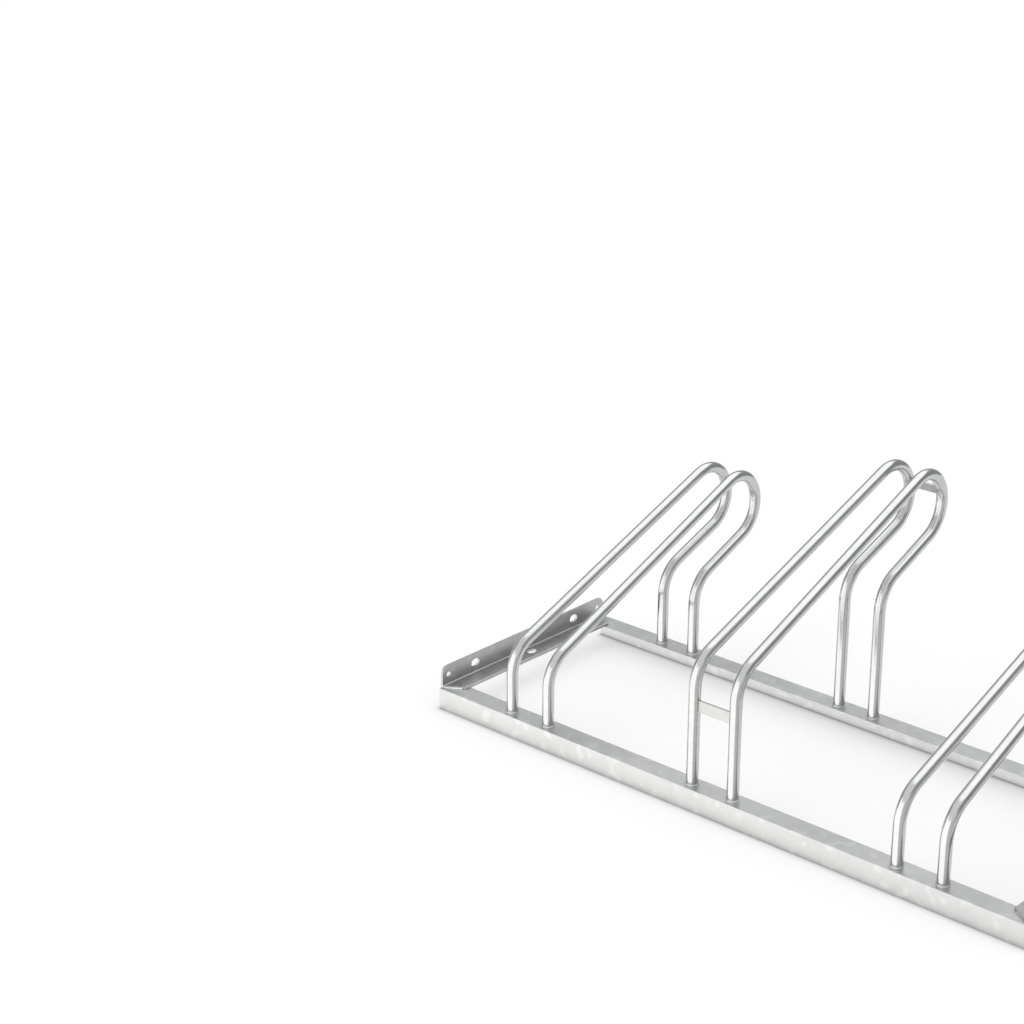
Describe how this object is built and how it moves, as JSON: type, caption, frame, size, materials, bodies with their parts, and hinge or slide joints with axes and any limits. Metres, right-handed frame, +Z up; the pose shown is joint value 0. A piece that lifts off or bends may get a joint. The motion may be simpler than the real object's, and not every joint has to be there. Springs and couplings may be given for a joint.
{
  "type": "floor bike rack",
  "caption": "Floor-standing bike rack of bent steel tube bows, welded in pairs to angle rails; front wheels are pushed in between the bows, at low and high places in turn.",
  "frame": {"origin": "centre of the whole rack's bounding box, on the floor", "axes": "+X along the rails; +Y away from the bike, from the front rail to the rear rail and the loops; +Z up"},
  "size_m": [1.05, 0.5372, 0.4071],
  "materials": {
    "galvanised_steel": "hot-dip galvanised, satin and lightly mottled",
    "welded_zinc": "zinc-coated weld bead, a little rougher"
  },
  "bodies": {
    "root": {"front_rail": "galvanised_steel", "rear_rail": "galvanised_steel", "left_end_bracket": "galvanised_steel", "right_end_bracket": "galvanised_steel", "low_bow_1_left": "galvanised_steel", "low_bow_1_right": "galvanised_steel", "high_bow_2_left": "galvanised_steel", "high_bow_2_right": "galvanised_steel", "low_bow_3_left": "galvanised_steel", "low_bow_3_right": "galvanised_steel", "wheel_rest_bar_2": "galvanised_steel", "wheel_stop_bar_2": "galvanised_steel", "front_foot_weld_1_left": "welded_zinc", "rear_foot_weld_1_left": "welded_zinc", "front_foot_weld_1_right": "welded_zinc", "rear_foot_weld_1_right": "welded_zinc", "front_foot_weld_2_left": "welded_zinc", "rear_foot_weld_2_left": "welded_zinc", "front_foot_weld_2_right": "welded_zinc", "rear_foot_weld_2_right": "welded_zinc", "front_foot_weld_3_left": "welded_zinc", "rear_foot_weld_3_left": "welded_zinc", "front_foot_weld_3_right": "welded_zinc", "rear_foot_weld_3_right": "welded_zinc", "left_bracket_front_weld": "welded_zinc", "left_bracket_rear_weld": "welded_zinc", "right_bracket_front_weld": "welded_zinc", "right_bracket_rear_weld": "welded_zinc"}
  },
  "joints": []
}
